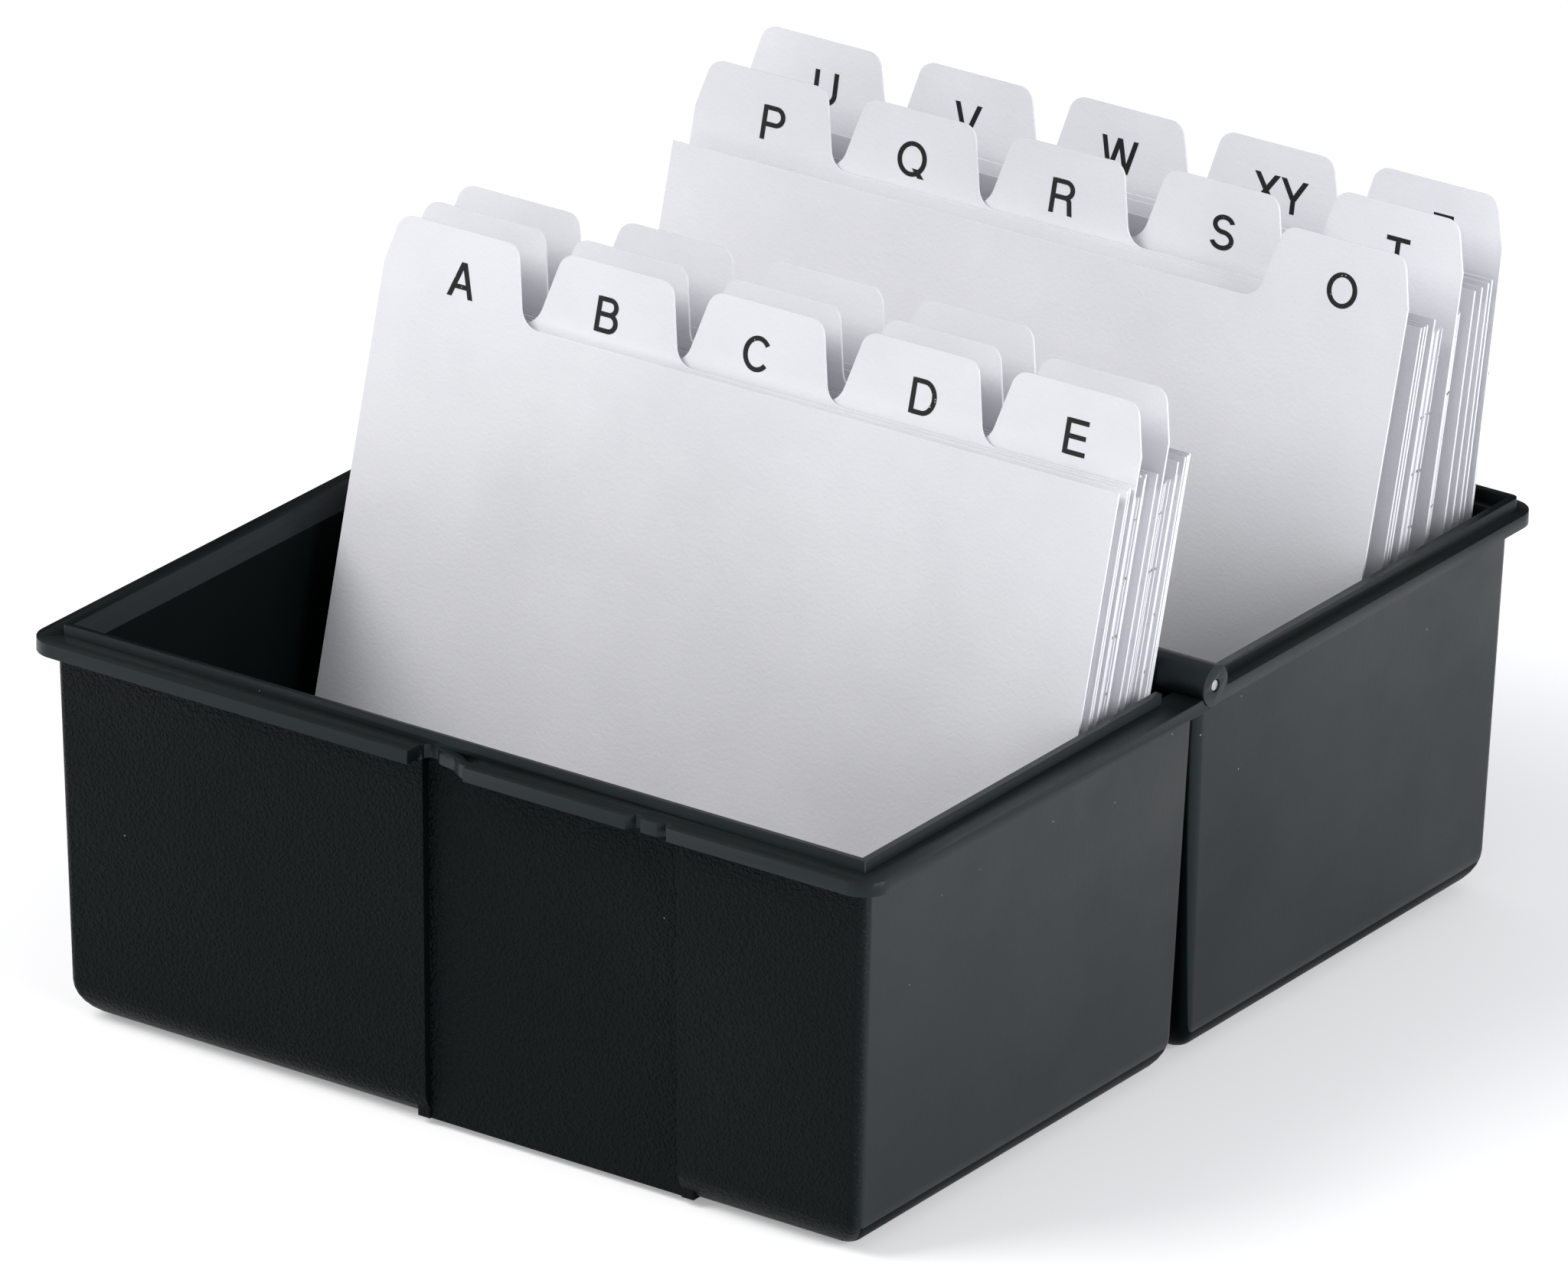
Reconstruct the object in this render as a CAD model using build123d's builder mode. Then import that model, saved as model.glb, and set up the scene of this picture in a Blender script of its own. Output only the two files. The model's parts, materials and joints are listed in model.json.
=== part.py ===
"""Card index box, standing open: two hinged trays with lettered guides and packets of cards.

X runs along the hinge, Y from the front of the base tray to the back of the lid tray, Z up.
The origin is on the ground, under the middle of the hinge. Sizes are in millimetres.
"""
from math import cos, radians, sin, sqrt, tan
from build123d import *
import os

os.makedirs("parts", exist_ok=True)

# ---- driving dimensions: the two trays ----
side_room = 4.64            # edge of a guide to the wall beside it, at the rim
flange_reach = 99.0         # from the hinge plane to the far edge of a rim
rim_height = 69.0           # top of the base rim above the ground
lid_rim_rise = 0.33         # the lid rim stands this much higher
flange_thickness = 2.35
flange_overhang = 3.46      # rim edge to the outer face of the wall
flange_corner = 5.0
wall = 2.4
floor_thickness = 2.2
wall_draft = 1.8            # each wall leans in this much from rim to foot
wall_corner = 2.07
foot_rounding = 6.8
inner_foot_rounding = 1.5
foot_steps = 8              # flats round each foot edge
tray_gap = 0.15             # each hinge wall to the hinge plane
base_lip_inset = 4.61       # rim edge to the outer face of the low lip
base_lip_height = 1.9
base_lip_end = 9.0          # the side lips stop this far from the hinge plane
lid_lip_inset = 2.5
lid_lip_height = 2.0
lid_lip_thickness = 1.5
base_lip_corner = 0.4
lid_lip_corner = 1.5
overshoot = 1.0             # cuts run this far past what they cut

# ---- driving dimensions: hinge ----
axis_rise = 1.4             # hinge axis above the base rim
barrel_radius = 3.6
rod_radius = 1.1
rod_recess = 0.2            # the rod ends lie this deep in the end knuckles
tight_play = 0.02           # rod to the base knuckles, radial
running_play = 0.05         # rod to the lid knuckles, radial
knuckle_count = 7           # lid and base knuckles by turns, lid ones at both ends
end_knuckle = 20.0
knuckle_gap = 0.3
relief = 0.3                # room round a knuckle in the opposite tray

# ---- driving dimensions: finger recess, snap bar and its tongue ----
recess_start = -6.3
recess_end = 44.3
recess_depth = 1.6
notch_margin = 0.5          # the rim is cut away this much wider than the recess
bar_start = 4.4
bar_end = 36.7
bar_depth = 3.0
bar_thickness = 2.4
web_start = 38.4            # right-hand web between the bar and the wall
web_chamfer = 1.8
spring_width = 1.5          # curved left-hand web
tongue_margin = 3.0         # shorter than the bar at each end
tongue_inset = 3.25
tongue_thickness = 1.0

# ---- driving dimensions: guides and cards ----
card_width = 148.0
card_height = 105.0
card_thickness = 0.28
card_gap = 0.02             # between the cards of one packet
guide_margin = 0.5          # a guide is wider than its cards by this at each side
guide_rise = 3.0            # shoulders of a guide above its cards
guide_thickness = 0.45
tab_count = 5
tab_height = 13.3
tab_slant = 14.0            # degrees from upright
tab_top_radius = 3.0
tab_root_radius = 4.0
tab_side_rise = 4.75        # straight part of an outer tab, flush with the guide's edge
play = 0.08                 # between a packet and the next guide
floor_play = 0.9            # lower edges to the tray floor, for their swing as the lid shuts
seat_play = 0.3             # last packet to the barrel or to the rim it leans on
card_wander = 0.35          # how unevenly the cards of a packet lie

# Each group: name, tab position, cards behind the guide, lean in degrees,
# sideways shift and the extra air behind the packet at tab height.
base_groups = [
    ("a", 1, 4, 14.6, 1.4, 0.0),
    ("b", 2, 2, 14.6, 1.9, 0.0),
    ("c", 3, 1, 14.6, 1.6, 0.0),
    ("d", 4, 1, 14.6, 2.1, 0.0),
    ("e", 5, 8, 14.6, 1.6, 0.0),
    ("f", 1, 1, 14.6, 1.2, 0.0),
    ("g", 2, 1, 14.6, -0.2, 0.0),
    ("h", 3, 2, 14.6, 0.3, 0.0),
    ("i", 4, 4, 14.6, 1.7, 0.0),
    ("j", 5, 13, 14.6, 1.8, 0.0),
    ("k", 1, 6, 14.6, 1.5, 0.0),
    ("l", 2, 1, 14.6, 1.3, 0.0),
    ("m", 3, 1, 14.6, 1.2, 0.0),
    ("n", 4, 1, 14.6, 1.0, 0.0),
]
lid_groups = [
    ("o", 5, 3, 14.5, 1.4, 2.6),
    ("p", 1, 1, 13.6, 2.1, 0.0),
    ("q", 2, 1, 13.6, 2.2, 0.0),
    ("r", 3, 4, 13.6, 2.2, 0.5),
    ("s", 4, 14, 13.1, 2.1, 2.4),
    ("t", 5, 9, 11.3, 1.8, 1.1),
    ("u", 1, 3, 10.3, 2.0, 0.4),
    ("v", 2, 3, 10.0, 2.2, 0.4),
    ("w", 3, 2, 9.6, 2.2, 0.2),
    ("xy", 4, 3, 9.3, 2.0, 0.2),
    ("z", 5, 7, 8.8, 2.2, 0.0),
]

# ---- sizes that follow ----
guide_width = card_width + 2 * guide_margin
guide_height = card_height + guide_rise
wall_half = guide_width / 2 + side_room + wall
flange_width = 2 * (wall_half + flange_overhang)
lid_rim_height = rim_height + lid_rim_rise
axis_height = rim_height + axis_rise
wall_reach = flange_reach - flange_overhang
inner_reach = wall_reach - wall
rim_gap = axis_rise + (axis_rise - lid_rim_rise)    # between the two rims when shut
base_lip_thickness = flange_overhang + wall - base_lip_inset
relief_radius = barrel_radius + relief
card_pitch = card_thickness + card_gap
guide_total = guide_height + tab_height
tab_pitch = guide_width / tab_count
guide_pitch = guide_thickness + card_gap
notch_start = recess_start - notch_margin
notch_end = recess_end + notch_margin
foot_turns = [radians(90 * step / foot_steps) for step in range(foot_steps + 1)]


def wall_block(reach, half, near, height, draft, corner, foot):
    """Drafted block with a rounded foot, from the ground up to a rim, on the +Y side.

    The foot is a stack of rounded rectangles that follow a quarter circle.
    """
    depth = reach - near
    levels = [(foot * (1 - sin(turn)), foot * (1 - cos(turn))) for turn in foot_turns]
    levels.append((0.0, height))
    with BuildPart() as block:
        for inset, level in levels:
            lean_in = inset + draft * (1 - level / height)
            with BuildSketch(Plane.XY.offset(level)):
                with Locations((0, near + depth / 2)):
                    RectangleRounded(2 * (half - lean_in), depth - 2 * lean_in, corner)
        loft(ruled=True)
    return block.part


def tray_shell(height):
    """Open tray with its flat rim, on the +Y side of the hinge plane."""
    outer = wall_block(wall_reach, wall_half, tray_gap, height, wall_draft, wall_corner, foot_rounding)
    cavity_height = height - floor_thickness
    cavity_draft = wall_draft * cavity_height / height
    inner = wall_block(
        inner_reach, wall_half - wall, tray_gap + wall, cavity_height,
        cavity_draft, wall_corner / 2, inner_foot_rounding,
    )
    with BuildPart() as shell:
        add(outer)
        with BuildSketch(Plane.XY.offset(height - flange_thickness)):
            with Locations((0, (flange_reach + tray_gap) / 2)):
                Rectangle(flange_width, flange_reach - tray_gap)
        extrude(amount=flange_thickness)
        far_corners = shell.edges().filter_by(Axis.Z).group_by(Axis.Y)[-1]
        fillet(far_corners, flange_corner)
        add(inner.moved(Location((0, 0, floor_thickness))), mode=Mode.SUBTRACT)
    return shell.part


def lip(inset, thickness, height, base, near, corner):
    """Low upright lip on a rim: one far run and two side runs that start at near."""
    half = flange_width / 2 - inset
    reach = flange_reach - inset
    with BuildPart() as rail:
        with BuildSketch(Plane.XY.offset(base)):
            with Locations((0, (reach + near) / 2)):
                Rectangle(2 * half, reach - near)
        extrude(amount=height)
        fillet(rail.edges().filter_by(Axis.Z).group_by(Axis.Y)[-1], corner)
        with BuildSketch(Plane.XY.offset(base)):
            with Locations((0, (reach - thickness + near) / 2)):
                Rectangle(2 * (half - thickness), reach - thickness - near)
        extrude(amount=height, mode=Mode.SUBTRACT)
    return rail.part


def knuckle_spans():
    """Start and end along the hinge of each knuckle, from left to right."""
    middle_count = knuckle_count - 2
    middle = (flange_width - 2 * end_knuckle) / middle_count
    edges = [-flange_width / 2]
    for index in range(middle_count + 1):
        edges.append(-flange_width / 2 + end_knuckle + index * middle)
    edges.append(flange_width / 2)
    return list(zip(edges[:-1], edges[1:]))


def barrels(numbers, radius, shrink):
    """Cylinders along the hinge axis over the chosen knuckles, shorter by shrink at inner ends."""
    spans = knuckle_spans()
    with BuildPart() as group:
        for number in numbers:
            start, end = spans[number]
            if number > 0:
                start += shrink
            if number < knuckle_count - 1:
                end -= shrink
            with BuildSketch(Plane(origin=(start, 0, axis_height), x_dir=(0, 1, 0), z_dir=(1, 0, 0))):
                Circle(radius)
            extrude(amount=end - start)
    return group.part


def rod_hole(radius):
    """Bore for the rod, right through the hinge."""
    with BuildPart() as hole:
        start = -flange_width / 2 - overshoot
        with BuildSketch(Plane(origin=(start, 0, axis_height), x_dir=(0, 1, 0), z_dir=(1, 0, 0))):
            Circle(radius)
        extrude(amount=flange_width + 2 * overshoot)
    return hole.part


lid_knuckles = range(0, knuckle_count, 2)
base_knuckles = range(1, knuckle_count, 2)
half_gap = knuckle_gap / 2

# ---- base tray: shell, low lip, finger recess with snap bar, three knuckles ----
base_shell = tray_shell(rim_height).mirror(Plane.XZ)
base_lip = lip(
    base_lip_inset, base_lip_thickness, base_lip_height, rim_height, base_lip_end, base_lip_corner
).mirror(Plane.XZ)
base_barrels = barrels(base_knuckles, barrel_radius, half_gap)
base_relief = barrels(lid_knuckles, relief_radius, -half_gap)
base_bore = rod_hole(rod_radius + tight_play)
rim_front = -flange_reach
wall_front = -wall_reach
recess_front = wall_front + recess_depth
bar_back = rim_front + bar_depth

with BuildPart() as base_tray:
    add(base_shell)
    # thicker wall behind the recess, as far as the recess is deep
    with BuildSketch(Plane.YZ.offset(recess_start - wall)):
        with BuildLine():
            Polyline(
                (-inner_reach - wall / 2, rim_height - flange_thickness),
                (-inner_reach + recess_depth, rim_height - flange_thickness),
                (-inner_reach + recess_depth + wall_draft, floor_thickness / 2),
                (-inner_reach - wall / 2 + wall_draft, floor_thickness / 2),
                close=True,
            )
        make_face()
    extrude(amount=recess_end - recess_start + 2 * wall)
    # finger recess, following the draft of the wall
    with BuildSketch(Plane.YZ.offset(recess_start)):
        with BuildLine():
            Polyline(
                (rim_front - overshoot, rim_height),
                (recess_front, rim_height),
                (recess_front + wall_draft, 0),
                (recess_front + wall_draft, -overshoot),
                (rim_front - overshoot, -overshoot),
                close=True,
            )
        make_face()
    extrude(amount=recess_end - recess_start, mode=Mode.SUBTRACT)
    # the rim is cut away over the recess
    with BuildSketch(Plane.XY.offset(rim_height - flange_thickness)):
        with Locations(((notch_start + notch_end) / 2, (rim_front + wall_front) / 2)):
            Rectangle(notch_end - notch_start, flange_overhang)
    extrude(amount=flange_thickness, mode=Mode.SUBTRACT)
    add(base_lip)
    # snap bar with a chamfered right end and its two webs
    with BuildSketch(Plane.XY.offset(rim_height - bar_thickness)):
        with BuildLine():
            Polyline(
                (bar_start, rim_front),
                (bar_end, rim_front),
                (bar_end + web_chamfer / 2, rim_front + web_chamfer),
                (web_start, bar_back - web_chamfer / 2),
                (web_start + web_chamfer / 2, rim_front + web_chamfer / 3),
                (recess_end - web_chamfer, rim_front + web_chamfer / 3),
                (recess_end - web_chamfer / 2, rim_front + web_chamfer),
                (notch_end, rim_front + web_chamfer),
                (notch_end, recess_front + wall / 4),
                (web_start + web_chamfer, recess_front + wall / 4),
                (web_start, bar_back),
                (bar_start, bar_back),
                close=True,
            )
        make_face()
        with BuildLine():
            Polyline(
                (notch_start, wall_front),
                (recess_start + spring_width, recess_front + wall / 4),
                (recess_start, recess_front + wall / 4),
                (notch_start, recess_front + wall / 4),
                close=True,
            )
        make_face()
        with BuildLine():
            spring_path = Spline(
                (recess_start + 2 * spring_width, recess_front + wall / 4),
                ((recess_start + bar_start) / 2 + spring_width, (recess_front + bar_back) / 2 - spring_width / 3),
                (bar_start + spring_width / 4, (rim_front + bar_back) / 2),
                tangents=[(0, -1), (1, 0)],
            )
        trace(lines=spring_path, line_width=spring_width)
    extrude(amount=bar_thickness)
    add(base_barrels)
    add(base_relief, mode=Mode.SUBTRACT)
    add(base_bore, mode=Mode.SUBTRACT)
base_tray.part.label = "base_tray"
export_step(base_tray.part, "parts/base_tray.step")

# ---- lid tray: shell, tall lip, snap tongue, four knuckles ----
lid_shell = tray_shell(lid_rim_height)
lid_lip_near = sqrt(barrel_radius ** 2 - (axis_rise - lid_rim_rise) ** 2) / 2
lid_lip = lip(
    lid_lip_inset, lid_lip_thickness, lid_lip_height, lid_rim_height, lid_lip_near, lid_lip_corner
)
lid_barrels = barrels(lid_knuckles, barrel_radius, half_gap)
lid_relief = barrels(base_knuckles, relief_radius, -half_gap)
lid_bore = rod_hole(rod_radius + running_play)
tongue_height = rim_gap + bar_thickness

with BuildPart() as lid_tray:
    add(lid_shell)
    add(lid_lip)
    with BuildSketch(Plane.XY.offset(lid_rim_height)):
        with Locations(((bar_start + bar_end) / 2, flange_reach - tongue_inset - tongue_thickness / 2)):
            Rectangle(bar_end - bar_start - 2 * tongue_margin, tongue_thickness)
    extrude(amount=tongue_height)
    add(lid_barrels)
    add(lid_relief, mode=Mode.SUBTRACT)
    add(lid_bore, mode=Mode.SUBTRACT)
lid_tray.part.label = "lid_tray"
export_step(lid_tray.part, "parts/lid_tray.step")

# ---- steel rod through all knuckles ----
rod_start = -flange_width / 2 + rod_recess
with BuildPart() as hinge_rod:
    with BuildSketch(Plane(origin=(rod_start, 0, axis_height), x_dir=(0, 1, 0), z_dir=(1, 0, 0))):
        Circle(rod_radius)
    extrude(amount=flange_width - 2 * rod_recess)
    chamfer(hinge_rod.edges(), rod_recess)
hinge_rod.part.label = "hinge_rod"
export_step(hinge_rod.part, "parts/hinge_rod.step")


# ---- where each guide and its packet stand ----
def packet_depth(cards):
    """Thickness of a guide with the cards behind it."""
    return guide_pitch + cards * card_pitch


def place_groups(groups, last_y, last_z, seat):
    """Lay the groups from the rearmost forwards.

    The back of the last packet passes at seat from the point it leans on. Returns for each
    group the foot of its guide's front face in Y, in the same order as the groups.
    """
    feet = []
    foot_z = floor_thickness + floor_play
    next_top = None
    for name, position, cards, lean, shift, air in reversed(groups):
        angle = radians(lean)
        depth = packet_depth(cards)
        if next_top is None:
            back = last_y - (seat + depth) / cos(angle)
            foot_y = back - (last_z - foot_z) * tan(angle)
        else:
            foot_y = next_top - (depth + play + air) / cos(angle) - guide_total * sin(angle)
        next_top = foot_y + guide_total * sin(angle)
        feet.append(foot_y)
    feet.reverse()
    return feet


# the base stack leans on the hinge barrel, the lid stack on the far rim's inner edge
base_feet = place_groups(base_groups, 0.0, axis_height, barrel_radius + seat_play)
lid_feet = place_groups(lid_groups, inner_reach, lid_rim_height, seat_play)


def leaning_plane(foot_y, lean, shift, back_step):
    """Plane of a leaning sheet: X along the hinge, Y up the sheet, Z out of its front face."""
    angle = radians(lean)
    foot_z = floor_thickness + floor_play
    rise = back_step * tan(angle)       # every sheet stands on the same level
    return Plane(
        origin=(
            shift,
            foot_y + back_step * cos(angle) + rise * sin(angle),
            foot_z - back_step * sin(angle) + rise * cos(angle),
        ),
        x_dir=(1, 0, 0),
        z_dir=(0, -cos(angle), sin(angle)),
    )


def guide_part(foot_y, position, lean, shift):
    """Lettered guide: a sheet with one tab, at one of five positions."""
    half = guide_width / 2
    centre = -half + (position - 0.5) * tab_pitch
    slope = tan(radians(tab_slant))
    root = tab_pitch / 2 - tab_root_radius * slope / 2
    left_outer = position == 1
    right_outer = position == tab_count
    points = [(-half, 0), (half, 0), (half, guide_height)]
    if right_outer:
        points[2] = (half, guide_height + tab_side_rise)
        points.append((half - (tab_height - tab_side_rise) * slope, guide_total))
    else:
        points.append((centre + root, guide_height))
        points.append((centre + root - tab_height * slope, guide_total))
    if left_outer:
        points.append((-half + (tab_height - tab_side_rise) * slope, guide_total))
        points.append((-half, guide_height + tab_side_rise))
    else:
        points.append((centre - root + tab_height * slope, guide_total))
        points.append((centre - root, guide_height))
        points.append((-half, guide_height))
    with BuildPart() as guide:
        with BuildSketch(leaning_plane(foot_y, lean, shift, 0.0)) as outline:
            with BuildLine():
                Polyline(*points, close=True)
            make_face()
            fillet(outline.vertices().group_by(Axis.Y)[-1], tab_top_radius)
            roots = [
                corner for corner in outline.vertices()
                if abs(corner.Y - guide_height) < 0.01 and abs(corner.X - centre) < tab_pitch / 2
            ]
            fillet(roots, tab_root_radius)
        extrude(amount=-guide_thickness)
    return guide.part


def packet_part(foot_y, cards, lean, shift, seed):
    """Packet of plain cards behind a guide, each a little out of line with the next."""
    with BuildPart() as packet:
        for number in range(cards):
            sideways = shift - (guide_width - card_width) / 2 + card_wander * sin(2.4 * number + seed)
            plane = leaning_plane(foot_y, lean, sideways, guide_pitch + number * card_pitch)
            with BuildSketch(plane):
                Rectangle(card_width, card_height, align=(Align.CENTER, Align.MIN))
            extrude(amount=-card_thickness)
    return packet.part


# ---- guides and packets of both trays ----
for groups, feet in ((base_groups, base_feet), (lid_groups, lid_feet)):
    for seed, ((name, position, cards, lean, shift, air), foot_y) in enumerate(zip(groups, feet)):
        guide = guide_part(foot_y, position, lean, shift)
        guide.label = "guide_" + name
        export_step(guide, "parts/guide_" + name + ".step")
        packet = packet_part(foot_y, cards, lean, shift, seed)
        packet.label = "cards_" + name
        export_step(packet, "parts/cards_" + name + ".step")
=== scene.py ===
"""Card index box standing open, dressed for the photograph's view."""
import json
import math

import bmesh
import bpy
from mathutils import Matrix, Vector


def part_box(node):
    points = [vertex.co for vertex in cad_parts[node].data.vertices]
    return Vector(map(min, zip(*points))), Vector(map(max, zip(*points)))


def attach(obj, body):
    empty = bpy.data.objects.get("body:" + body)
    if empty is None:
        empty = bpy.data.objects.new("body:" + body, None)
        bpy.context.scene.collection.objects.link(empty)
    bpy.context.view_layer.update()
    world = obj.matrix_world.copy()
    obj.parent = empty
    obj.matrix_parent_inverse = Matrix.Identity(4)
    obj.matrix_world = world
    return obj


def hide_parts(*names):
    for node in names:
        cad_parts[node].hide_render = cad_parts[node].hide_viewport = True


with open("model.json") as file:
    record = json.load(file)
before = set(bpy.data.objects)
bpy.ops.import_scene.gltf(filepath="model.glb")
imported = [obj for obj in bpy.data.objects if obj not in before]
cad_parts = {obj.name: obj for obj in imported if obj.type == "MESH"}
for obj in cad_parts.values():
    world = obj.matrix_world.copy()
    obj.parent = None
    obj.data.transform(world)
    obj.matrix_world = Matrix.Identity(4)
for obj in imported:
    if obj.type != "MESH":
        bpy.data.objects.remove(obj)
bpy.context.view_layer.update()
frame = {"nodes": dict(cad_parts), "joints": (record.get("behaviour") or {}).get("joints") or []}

# ---------------------------------------------------------------------------
# Base tray and lid tray: two injection mouldings in black polystyrene, joined by
# the knuckles of their hinge. The far walls carry a spark-eroded leather grain,
# the other outer faces are polished, and the edges are slightly rounded.
# ---------------------------------------------------------------------------
EDGE_SOFTNESS = 0.00022
FLAT_ENOUGH = math.radians(1.0)     # faces this close to one plane become one face
SHARP_ENOUGH = math.radians(28.0)   # edges sharper than this are rounded
SAME_POINT = 0.000001
GRAIN_SIZE = 0.00105
GRAIN_DEPTH = 0.00042
GRAIN_ROUGHNESS = 0.16      # how much duller the grain makes a face
HAZE_SCALE = 900.0          # fine unevenness of the polished faces
HAZE_SHARE = 0.035          # its height, as a share of the grain's
CLOUD_SCALE = 28.0          # patches of wear, a few centimetres wide
POLISH = (0.30, 0.46)       # roughness of a fresh and of a worn patch
BLACK = (0.0016, 0.0030, 0.0031, 1.0)
BLACK_WORN = (0.0035, 0.0055, 0.0058, 1.0)
DUST = (0.20, 0.21, 0.22, 1.0)
GRAINED_SHINE = 0.075
POLISHED_SHINE = 0.29
# painted shade: faces within a tray get almost no shine, so they stay dark
INNER_PAINTED_SHADE_SHINE = 0.015
SHINE_TINT = (0.80, 0.95, 1.0, 1.0)
RIM_UNDERSIDE = 0.0664
INNER_HALF = 0.0796         # the faces inside a tray lie within this of the middle
FAR_AND_OUTWARD = 0.03      # place times facing along Y is larger on a far wall alone


def add_node(tree, kind, **values):
    """Shader node of one kind, with its inputs and settings set by name."""
    made = tree.nodes.new(kind)
    for name, value in values.items():
        label = name.replace("_", " ")
        if label in made.inputs:
            made.inputs[label].default_value = value
        else:
            setattr(made, name, value)
    return made


def new_group(name, inputs, outputs):
    """Empty shader node group with named float inputs, and outputs given as name: type."""
    group = bpy.data.node_groups.new(name, "ShaderNodeTree")
    for label, value in inputs.items():
        kind = "NodeSocketVector" if value is None else "NodeSocketFloat"
        socket = group.interface.new_socket(label, in_out="INPUT", socket_type=kind)
        if value is not None:
            socket.default_value = value
    for label, kind in outputs.items():
        group.interface.new_socket(label, in_out="OUTPUT", socket_type=kind)
    start = group.nodes.new("NodeGroupInput")
    end = group.nodes.new("NodeGroupOutput")
    return group, start, end


def make_grain_group():
    """Leather grain of a spark-eroded mould: wrinkled cells at two sizes, as a height."""
    group, start, end = new_group(
        "leather grain",
        {"Position": None, "Cell Size": GRAIN_SIZE},
        {"Height": "NodeSocketFloat"},
    )
    wire = group.links.new
    scale = add_node(group, "ShaderNodeMath", operation="DIVIDE")
    scale.inputs[0].default_value = 1.0
    wire(start.outputs["Cell Size"], scale.inputs[1])
    warp = add_node(group, "ShaderNodeTexNoise", Detail=2.0)
    wire(start.outputs["Position"], warp.inputs["Vector"])
    wire(scale.outputs[0], warp.inputs["Scale"])
    centred = add_node(group, "ShaderNodeVectorMath", operation="SUBTRACT")
    centred.inputs[1].default_value = (0.5, 0.5, 0.5)
    wire(warp.outputs["Color"], centred.inputs[0])
    shift = add_node(group, "ShaderNodeVectorMath", operation="SCALE")
    wire(centred.outputs[0], shift.inputs[0])
    wire(start.outputs["Cell Size"], shift.inputs["Scale"])
    bent = add_node(group, "ShaderNodeVectorMath", operation="ADD")
    wire(start.outputs["Position"], bent.inputs[0])
    wire(shift.outputs[0], bent.inputs[1])
    cells = add_node(group, "ShaderNodeTexVoronoi", feature="DISTANCE_TO_EDGE")
    wire(bent.outputs[0], cells.inputs["Vector"])
    wire(scale.outputs[0], cells.inputs["Scale"])
    plateau = add_node(group, "ShaderNodeMapRange", interpolation_type="SMOOTHSTEP")
    plateau.inputs["From Max"].default_value = 0.32
    wire(cells.outputs["Distance"], plateau.inputs["Value"])
    fine_scale = add_node(group, "ShaderNodeMath", operation="MULTIPLY")
    fine_scale.inputs[1].default_value = 2.7
    wire(scale.outputs[0], fine_scale.inputs[0])
    fine = add_node(group, "ShaderNodeTexNoise", Detail=3.0, Roughness=0.6)
    wire(start.outputs["Position"], fine.inputs["Vector"])
    wire(fine_scale.outputs[0], fine.inputs["Scale"])
    mix = add_node(group, "ShaderNodeMix", data_type="FLOAT")
    mix.inputs["Factor"].default_value = 0.45
    wire(plateau.outputs["Result"], mix.inputs["A"])
    wire(fine.outputs["Fac"], mix.inputs["B"])
    wire(mix.outputs["Result"], end.inputs["Height"])
    return group


def make_speck_group():
    """Dust and tiny pits: small sparse dots over a surface, as a mask."""
    group, start, end = new_group(
        "dust specks",
        {"Position": None, "Spacing": 0.004, "Dot": 0.05, "Share": 0.3},
        {"Mask": "NodeSocketFloat"},
    )
    wire = group.links.new
    scale = add_node(group, "ShaderNodeMath", operation="DIVIDE")
    scale.inputs[0].default_value = 1.0
    wire(start.outputs["Spacing"], scale.inputs[1])
    dots = add_node(group, "ShaderNodeTexVoronoi", feature="F1")
    wire(start.outputs["Position"], dots.inputs["Vector"])
    wire(scale.outputs[0], dots.inputs["Scale"])
    near = add_node(group, "ShaderNodeMath", operation="LESS_THAN")
    wire(dots.outputs["Distance"], near.inputs[0])
    wire(start.outputs["Dot"], near.inputs[1])
    split = add_node(group, "ShaderNodeSeparateColor")
    wire(dots.outputs["Color"], split.inputs["Color"])
    chosen = add_node(group, "ShaderNodeMath", operation="LESS_THAN")
    wire(split.outputs["Red"], chosen.inputs[0])
    wire(start.outputs["Share"], chosen.inputs[1])
    both = add_node(group, "ShaderNodeMath", operation="MULTIPLY")
    wire(near.outputs[0], both.inputs[0])
    wire(chosen.outputs[0], both.inputs[1])
    wire(both.outputs[0], end.inputs["Mask"])
    return group


def new_material(name):
    """Empty node material: its tree, its Principled shader and its Bump node, joined up."""
    material = bpy.data.materials.new(name)
    material.use_nodes = True
    tree = material.node_tree
    shader = tree.nodes["Principled BSDF"]
    bump = tree.nodes.new("ShaderNodeBump")
    tree.links.new(bump.outputs["Normal"], shader.inputs["Normal"])
    return material, tree, shader, bump


def place_group(tree, group, **values):
    """A node group placed in a material, with its own values."""
    made = tree.nodes.new("ShaderNodeGroup")
    made.node_tree = group
    for label, value in values.items():
        made.inputs[label.replace("_", " ")].default_value = value
    return made


leather_grain = make_grain_group()
dust_specks = make_speck_group()


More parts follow.
